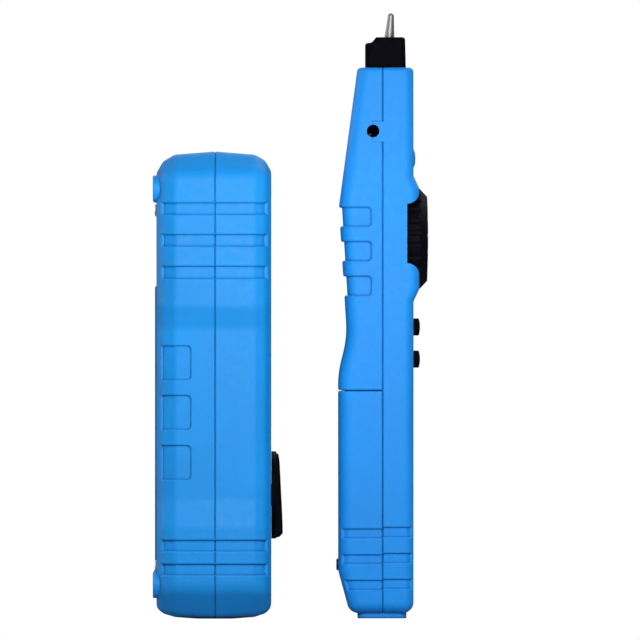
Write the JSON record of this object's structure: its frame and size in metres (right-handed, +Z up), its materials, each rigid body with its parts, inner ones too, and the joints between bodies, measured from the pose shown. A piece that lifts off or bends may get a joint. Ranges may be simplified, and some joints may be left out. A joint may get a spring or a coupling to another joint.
{
  "type": "cable tracer set",
  "caption": "Blue cable tracer set: box-shaped tone transmitter with rotary selector and modular sockets, and a slim probe receiver with metal tip, gain knob and push buttons.",
  "frame": {"origin": "centre of the set's footprint at the height of the surface both units stand on", "axes": "+Z up along the units, +X towards the control faces, Y across the width; the transmitter stands at -X and the receiver at +X"},
  "size_m": [0.0992, 0.076, 0.218],
  "materials": {
    "blue_case": "fine spark-eroded satin",
    "blue_door": "fine spark-eroded satin",
    "black_plastic": "satin",
    "knob_plastic": "satin, fluted",
    "button_rubber": "matte",
    "overlay_film": "fine matte film",
    "clear_lens": "clear",
    "led_lens": "tinted",
    "bright_metal": "nickel plated, turned",
    "screw_black": "black oxide",
    "screw_zinc": "zinc plated",
    "board_green": "solder mask",
    "contact_gold": "plated",
    "battery_can": "painted can",
    "ferrite": "dull",
    "copper": "enamelled wire"
  },
  "bodies": {
    "transmitter": {"transmitter_front_shell": "blue_case", "transmitter_rear_shell": "blue_case", "transmitter_front_overlay": "overlay_film", "transmitter_indicator_leds": "led_lens", "transmitter_circuit_board": "board_green", "transmitter_board_screws": "screw_zinc", "transmitter_board_components": "black_plastic", "transmitter_buzzer": "black_plastic", "transmitter_rj45_socket": "black_plastic", "transmitter_rj45_contacts": "contact_gold", "transmitter_rj11_socket": "black_plastic", "transmitter_rj11_contacts": "contact_gold", "transmitter_switch_body": "black_plastic", "transmitter_battery": "battery_can", "transmitter_battery_studs": "bright_metal", "transmitter_battery_clip": "black_plastic", "transmitter_case_screws": "screw_zinc"},
    "receiver": {"receiver_front_shell": "blue_case", "receiver_rear_shell": "blue_case", "receiver_case_screws": "screw_zinc", "receiver_nose": "black_plastic", "receiver_torch_lens": "clear_lens", "receiver_probe_tip": "bright_metal", "receiver_ferrite_rod": "ferrite", "receiver_pickup_coil": "copper", "receiver_signal_led": "led_lens", "receiver_circuit_board": "board_green", "receiver_board_components": "black_plastic", "receiver_earphone_jack": "black_plastic", "receiver_gain_pot": "bright_metal", "receiver_button_switches": "black_plastic", "receiver_speaker": "black_plastic", "receiver_battery_tray": "black_plastic", "receiver_battery": "battery_can", "receiver_battery_studs": "bright_metal", "receiver_battery_clip": "black_plastic"},
    "transmitter_selector": {"transmitter_selector_knob": "knob_plastic", "transmitter_switch_shaft": "black_plastic"},
    "transmitter_battery_cover": {"transmitter_battery_door": "blue_door", "transmitter_battery_door_screw": "screw_black"},
    "receiver_gain_control": {"receiver_gain_knob": "knob_plastic", "receiver_pot_shaft": "black_plastic"},
    "receiver_upper_key": {"receiver_upper_button": "button_rubber"},
    "receiver_lower_key": {"receiver_lower_button": "button_rubber"},
    "receiver_battery_cover": {"receiver_battery_door": "blue_door", "receiver_battery_door_screw": "screw_black"}
  },
  "joints": [
    {"name": "transmitter_selector_turn", "type": "hinge", "parent": "transmitter", "child": "transmitter_selector", "pos_m": [-0.00676, 0, 0.04435], "axis": [1, 0, 0], "range_deg": [-60, 60]},
    {"name": "transmitter_battery_cover_pull", "type": "slide", "parent": "transmitter", "child": "transmitter_battery_cover", "axis": [-1, 0, 0], "range_m": [0, 0.025]},
    {"name": "receiver_lift", "type": "slide", "parent": "transmitter", "child": "receiver", "axis": [0, 0, 1], "range_m": [0, 0.12]},
    {"name": "receiver_gain_turn", "type": "hinge", "parent": "receiver", "child": "receiver_gain_control", "pos_m": [0.04511, 0, 0.13666], "axis": [1, 0, 0], "range_deg": [-140, 140]},
    {"name": "receiver_upper_button_press", "type": "slide", "parent": "receiver", "child": "receiver_upper_key", "axis": [-1, 0, 0], "range_m": [0, 0.0008], "stiffness_N_per_m": 2500},
    {"name": "receiver_lower_button_press", "type": "slide", "parent": "receiver", "child": "receiver_lower_key", "axis": [-1, 0, 0], "range_m": [0, 0.0008], "stiffness_N_per_m": 2500},
    {"name": "receiver_battery_cover_pull", "type": "slide", "parent": "receiver", "child": "receiver_battery_cover", "axis": [-1, 0, 0], "range_m": [0, 0.016]}
  ]
}
